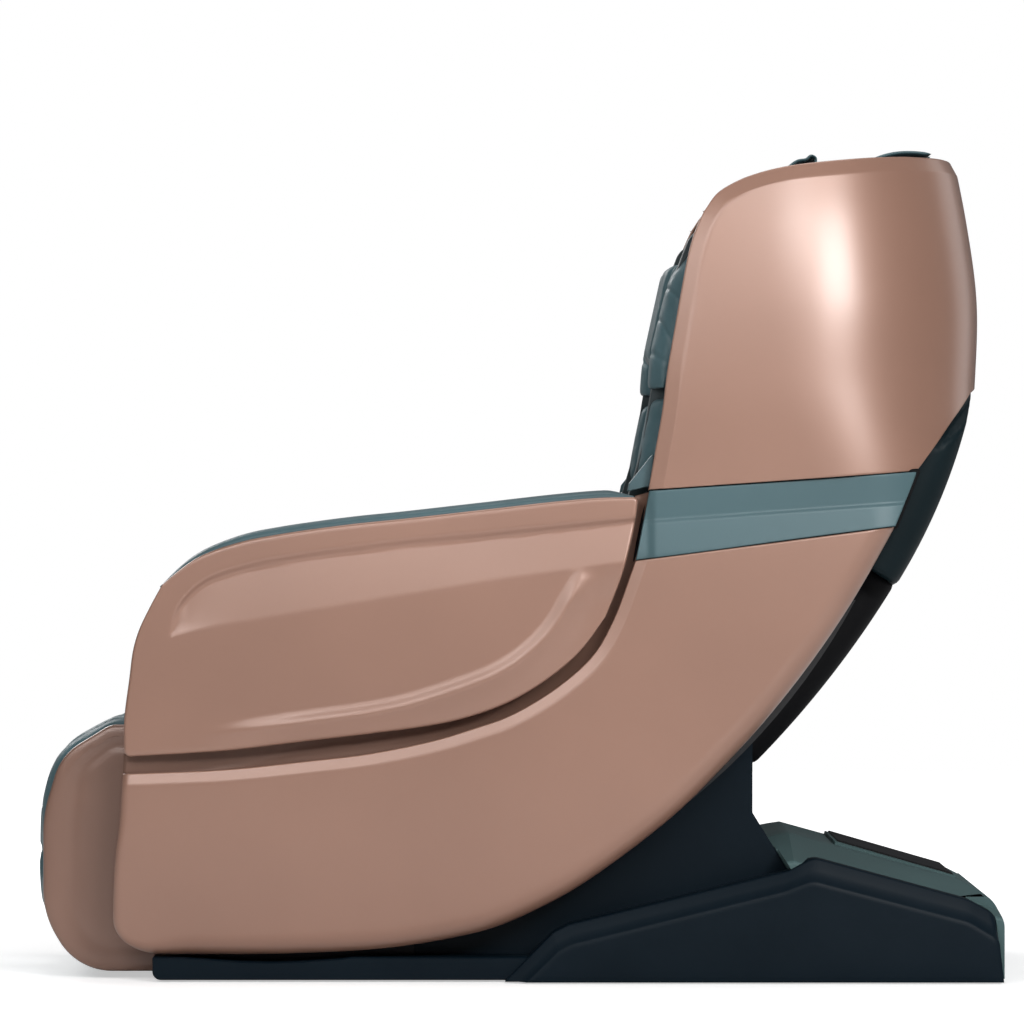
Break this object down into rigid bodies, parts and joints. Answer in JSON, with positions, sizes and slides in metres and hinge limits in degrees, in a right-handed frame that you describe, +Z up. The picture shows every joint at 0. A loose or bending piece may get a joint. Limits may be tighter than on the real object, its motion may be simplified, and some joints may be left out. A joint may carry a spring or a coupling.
{
  "type": "massage chair",
  "caption": "Massage chair whose capsule-shaped body glides and tilts on a low base, with a D-shaped leg pod, padded seat and back, and rollers that climb the back.",
  "frame": {"origin": "on the floor at the middle of the chair's box", "axes": "+X to the chair's rear, +Y to the sitter's right, +Z up"},
  "size_m": [1.386, 0.7446, 1.1983],
  "materials": {
    "copper_shell": "satin metallic",
    "teal_band": "satin",
    "dark_cover": "satin",
    "spine_plastic": "satin",
    "lid_plastic": "satin",
    "teal_leather": "fine grain",
    "black_frame": "powder coat",
    "steel": "brushed",
    "black_plastic": "matt",
    "motor_metal": "painted",
    "roller_plastic": "smooth",
    "rubber": "matt",
    "button_plastic": "satin",
    "electric_case": "matt"
  },
  "bodies": {
    "base": {"base_frame": "black_frame", "tower_plates": "black_frame", "tower_covers": "dark_cover", "rail_covers": "dark_cover", "rear_side_covers": "dark_cover", "rear_top_cover": "lid_plastic", "base_pan": "black_frame", "power_supply": "electric_case", "air_pump": "motor_metal", "inlet_socket": "black_plastic", "actuator_housing": "motor_metal", "rubber_feet": "rubber"},
    "capsule": {"side_shell_left": "copper_shell", "side_shell_right": "copper_shell", "side_plates": "black_frame", "arc_rails": "steel", "capsule_frame": "black_frame", "track_rails": "steel", "armrest_panel_left": "copper_shell", "armrest_panel_right": "copper_shell", "armrest_liners": "teal_leather", "armrest_pads": "teal_leather", "head_shell": "copper_shell", "trim_bands": "teal_band", "spine_cover_upper": "spine_plastic", "spine_cover_lower": "spine_plastic", "seat_cushion": "teal_leather", "back_cushion": "teal_leather", "top_pad": "teal_leather", "pillow_strap": "teal_leather", "shoulder_pads": "teal_leather", "flank_pads": "teal_leather", "control_panel": "black_plastic", "leg_motor": "motor_metal"},
    "rod": {"actuator_rod": "steel"},
    "front_guides": {"guide_rollers_front": "roller_plastic"},
    "rear_guides": {"guide_rollers_rear": "roller_plastic"},
    "wheels": {"transport_wheels": "rubber"},
    "switch": {"rocker_switch": "black_plastic"},
    "leg_hinge": {"leg_frame": "black_frame"},
    "leg_pod": {"leg_shell": "black_plastic", "leg_cushion": "teal_leather", "leg_panel_left": "copper_shell", "leg_panel_right": "copper_shell"},
    "foot_roller": {"foot_rollers": "roller_plastic"},
    "carriage": {"carriage_frame": "motor_metal"},
    "walking": {"walking_axle": "steel"},
    "guiding": {"guide_axle": "steel"},
    "kneading": {"kneading_shaft": "steel"},
    "arm_left": {"massage_arm_left": "motor_metal"},
    "arm_right": {"massage_arm_right": "motor_metal"},
    "roller_left_upper": {"massage_roller_left_upper": "roller_plastic"},
    "roller_left_lower": {"massage_roller_left_lower": "roller_plastic"},
    "roller_right_upper": {"massage_roller_right_upper": "roller_plastic"},
    "roller_right_lower": {"massage_roller_right_lower": "roller_plastic"},
    "pillow": {"head_pillow": "teal_leather"},
    "power_button": {"button_power": "button_plastic"},
    "recline_button": {"button_recline": "button_plastic"},
    "raise_button": {"button_raise": "button_plastic"}
  },
  "joints": [
    {"name": "capsule_glide", "type": "hinge", "parent": "base", "child": "capsule", "pos_m": [-0.356, 0, 0.994], "axis": [0, 1, 0], "range_deg": [0, 20]},
    {"name": "rod_slide", "type": "slide", "parent": "base", "child": "rod", "axis": [1, 0, 0], "range_m": [-0.283, 0]},
    {"name": "front_guide_spin", "type": "hinge", "parent": "base", "child": "front_guides", "pos_m": [-0.45248, 0, 0.07606], "axis": [0, 1, 0], "range_deg": [-960, 0]},
    {"name": "rear_guide_spin", "type": "hinge", "parent": "base", "child": "rear_guides", "pos_m": [0.13312, 0, 0.21125], "axis": [0, 1, 0], "range_deg": [-960, 0]},
    {"name": "transport_spin", "type": "hinge", "parent": "base", "child": "wheels", "pos_m": [0.6, 0, 0.033], "axis": [0, 1, 0], "continuous": true},
    {"name": "rocker_tip", "type": "hinge", "parent": "base", "child": "switch", "pos_m": [0.686, -0.12, 0.062], "axis": [0, 1, 0], "range_deg": [0, 16]},
    {"name": "leg_lift", "type": "hinge", "parent": "capsule", "child": "leg_hinge", "pos_m": [-0.497, 0, 0.352], "axis": [0, 1, 0], "range_deg": [0, 80]},
    {"name": "leg_extend", "type": "slide", "parent": "leg_hinge", "child": "leg_pod", "axis": [0, 0, -1], "range_m": [0, 0.1]},
    {"name": "foot_roller_spin", "type": "hinge", "parent": "leg_pod", "child": "foot_roller", "pos_m": [-0.628, 0, 0.066], "axis": [0, 1, 0], "continuous": true},
    {"name": "carriage_slide", "type": "slide", "parent": "capsule", "child": "carriage", "axis": [0.2079, 0, 0.9781], "range_m": [-0.13, 0.24]},
    {"name": "walking_spin", "type": "hinge", "parent": "carriage", "child": "walking", "pos_m": [0.35906, 0, 0.63438], "axis": [0, 1, 0], "range_deg": [-470, 866]},
    {"name": "guide_spin", "type": "hinge", "parent": "carriage", "child": "guiding", "pos_m": [0.38027, 0, 0.73415], "axis": [0, 1, 0], "range_deg": [-470, 866]},
    {"name": "kneading_spin", "type": "hinge", "parent": "carriage", "child": "kneading", "pos_m": [0.33033, 0, 0.6916], "axis": [0, 1, 0], "continuous": true},
    {"name": "arm_rock_left", "type": "hinge", "parent": "carriage", "child": "arm_left", "pos_m": [0.33033, -0.078, 0.6916], "axis": [0, 1, 0], "range_deg": [-8, 8]},
    {"name": "roller_spin_left_upper", "type": "hinge", "parent": "arm_left", "child": "roller_left_upper", "pos_m": [0.29236, -0.099, 0.76306], "axis": [0, 1, 0], "continuous": true},
    {"name": "roller_spin_left_lower", "type": "hinge", "parent": "arm_left", "child": "roller_left_lower", "pos_m": [0.26658, -0.099, 0.64177], "axis": [0, 1, 0], "continuous": true},
    {"name": "arm_rock_right", "type": "hinge", "parent": "carriage", "child": "arm_right", "pos_m": [0.33033, 0.078, 0.6916], "axis": [0, 1, 0], "range_deg": [-8, 8]},
    {"name": "roller_spin_right_upper", "type": "hinge", "parent": "arm_right", "child": "roller_right_upper", "pos_m": [0.29236, 0.099, 0.76306], "axis": [0, 1, 0], "continuous": true},
    {"name": "roller_spin_right_lower", "type": "hinge", "parent": "arm_right", "child": "roller_right_lower", "pos_m": [0.26658, 0.099, 0.64177], "axis": [0, 1, 0], "continuous": true},
    {"name": "pillow_flip", "type": "hinge", "parent": "capsule", "child": "pillow", "pos_m": [0.24825, 0, 1.04131], "axis": [0, 1, 0], "range_deg": [0, 85]},
    {"name": "power_press", "type": "slide", "parent": "capsule", "child": "power_button", "axis": [0, 1, 0], "range_m": [0, 0.0015], "stiffness_N_per_m": 400},
    {"name": "recline_press", "type": "slide", "parent": "capsule", "child": "recline_button", "axis": [0, 1, 0], "range_m": [0, 0.0015], "stiffness_N_per_m": 400},
    {"name": "raise_press", "type": "slide", "parent": "capsule", "child": "raise_button", "axis": [0, 1, 0], "range_m": [0, 0.0015], "stiffness_N_per_m": 400}
  ],
  "couplings": [
    {"joint": "rod_slide", "follows": "capsule_glide", "m_per_rad": -0.8082},
    {"joint": "front_guide_spin", "follows": "capsule_glide", "ratio": -47.831},
    {"joint": "rear_guide_spin", "follows": "capsule_glide", "ratio": -47.831},
    {"joint": "leg_extend", "follows": "leg_lift", "m_per_rad": 0.0716},
    {"joint": "walking_spin", "follows": "carriage_slide", "rad_per_m": 62.893},
    {"joint": "guide_spin", "follows": "carriage_slide", "rad_per_m": 62.893}
  ]
}
